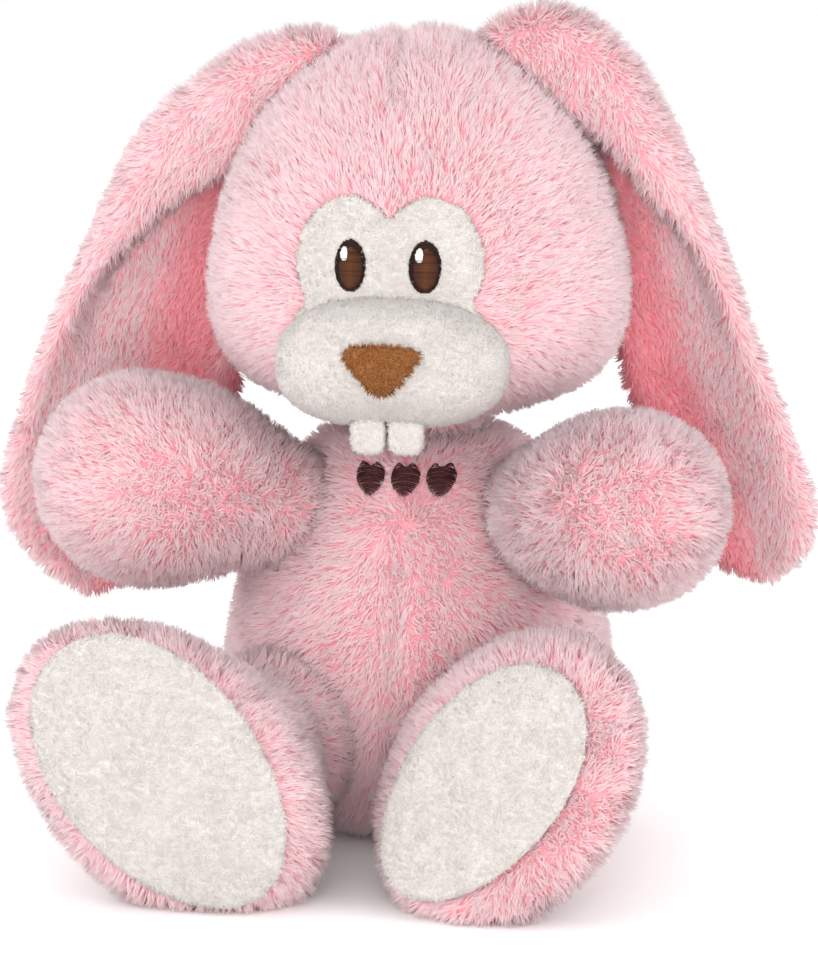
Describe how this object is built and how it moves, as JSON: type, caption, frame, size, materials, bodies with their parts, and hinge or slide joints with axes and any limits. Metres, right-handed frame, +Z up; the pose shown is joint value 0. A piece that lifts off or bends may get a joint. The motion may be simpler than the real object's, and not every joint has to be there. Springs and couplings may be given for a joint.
{
  "type": "stuffed bunny rabbit",
  "caption": "seated pink plush rabbit with long hanging ears, a white face, muzzle and soles, raised arms and legs stretched out in front",
  "frame": {"origin": "the middle of the flat seat, on the surface that the toy sits on", "axes": "+X to the toy's left, +Y towards its back, +Z up; the face and the soles look along -Y"},
  "size_m": [0.2579, 0.2063, 0.2593],
  "materials": {
    "pink_plush": "long soft pink plush",
    "stuffing": "polyester fibre filling",
    "liner": "thin woven pouch",
    "pellets": "small plastic pellets",
    "white_fleece": "short white fleece",
    "brown_fleece": "short golden brown pile",
    "brown_thread": "satin stitch in dark brown thread",
    "white_thread": "satin stitch in white thread"
  },
  "bodies": {
    "torso": {"body_shell": "pink_plush", "body_stuffing": "stuffing", "bean_pouch": "liner", "pellets": "pellets", "chest_embroidery": "brown_thread"},
    "neck": {"neck_stuffing": "stuffing"},
    "head": {"head_shell": "pink_plush", "head_stuffing": "stuffing", "face_mask": "white_fleece", "muzzle_shell": "white_fleece", "muzzle_stuffing": "stuffing", "nose": "brown_fleece", "tooth_left": "white_fleece", "tooth_right": "white_fleece", "eye_left": "brown_thread", "eye_right": "brown_thread", "eye_highlight_left": "white_thread", "eye_highlight_right": "white_thread"},
    "tail": {"tail_shell": "pink_plush", "tail_stuffing": "stuffing"},
    "ear_left": {"ear_left_front": "pink_plush", "ear_left_back": "pink_plush"},
    "arm_left": {"arm_left_shell": "pink_plush", "arm_left_stuffing": "stuffing"},
    "leg_left": {"leg_left_shell": "pink_plush", "leg_left_stuffing": "stuffing", "sole_left": "white_fleece"},
    "ear_right": {"ear_right_front": "pink_plush", "ear_right_back": "pink_plush"},
    "arm_right": {"arm_right_shell": "pink_plush", "arm_right_stuffing": "stuffing"},
    "leg_right": {"leg_right_shell": "pink_plush", "leg_right_stuffing": "stuffing", "sole_right": "white_fleece"}
  },
  "joints": [
    {"name": "head_turn", "type": "hinge", "parent": "torso", "child": "neck", "pos_m": [0, 0, 0.131], "axis": [0, 0, 1], "range_deg": [-11, 11], "stiffness_Nm_per_rad": 0.6},
    {"name": "head_nod", "type": "hinge", "parent": "neck", "child": "head", "pos_m": [0, 0, 0.131], "axis": [1, 0, 0], "range_deg": [-8, 6], "stiffness_Nm_per_rad": 1.5},
    {"name": "ear_left_swing", "type": "hinge", "parent": "head", "child": "ear_left", "pos_m": [0.038, 0.012, 0.238], "axis": [0, -1, 0], "range_deg": [0, 45]},
    {"name": "arm_left_raise", "type": "hinge", "parent": "torso", "child": "arm_left", "pos_m": [0.041, -0.021, 0.104], "axis": [-0.8046, -0.5939, 0], "range_deg": [-10, 8], "stiffness_Nm_per_rad": 0.4},
    {"name": "leg_left_lift", "type": "hinge", "parent": "torso", "child": "leg_left", "pos_m": [0.037, -0.042, 0.034], "axis": [-1, 0, 0], "range_deg": [0, 12], "stiffness_Nm_per_rad": 0.4},
    {"name": "ear_right_swing", "type": "hinge", "parent": "head", "child": "ear_right", "pos_m": [-0.038, 0.012, 0.238], "axis": [0, 1, 0], "range_deg": [0, 45]},
    {"name": "arm_right_raise", "type": "hinge", "parent": "torso", "child": "arm_right", "pos_m": [-0.041, -0.021, 0.104], "axis": [-0.4392, 0.8984, 0], "range_deg": [-10, 8], "stiffness_Nm_per_rad": 0.4},
    {"name": "leg_right_lift", "type": "hinge", "parent": "torso", "child": "leg_right", "pos_m": [-0.037, -0.042, 0.034], "axis": [-1, 0, 0], "range_deg": [0, 20], "stiffness_Nm_per_rad": 0.4},
    {"name": "tail_wag", "type": "hinge", "parent": "torso", "child": "tail", "pos_m": [0, 0.051, 0.031], "axis": [0, 0, 1], "range_deg": [-12, 12], "stiffness_Nm_per_rad": 0.03}
  ]
}
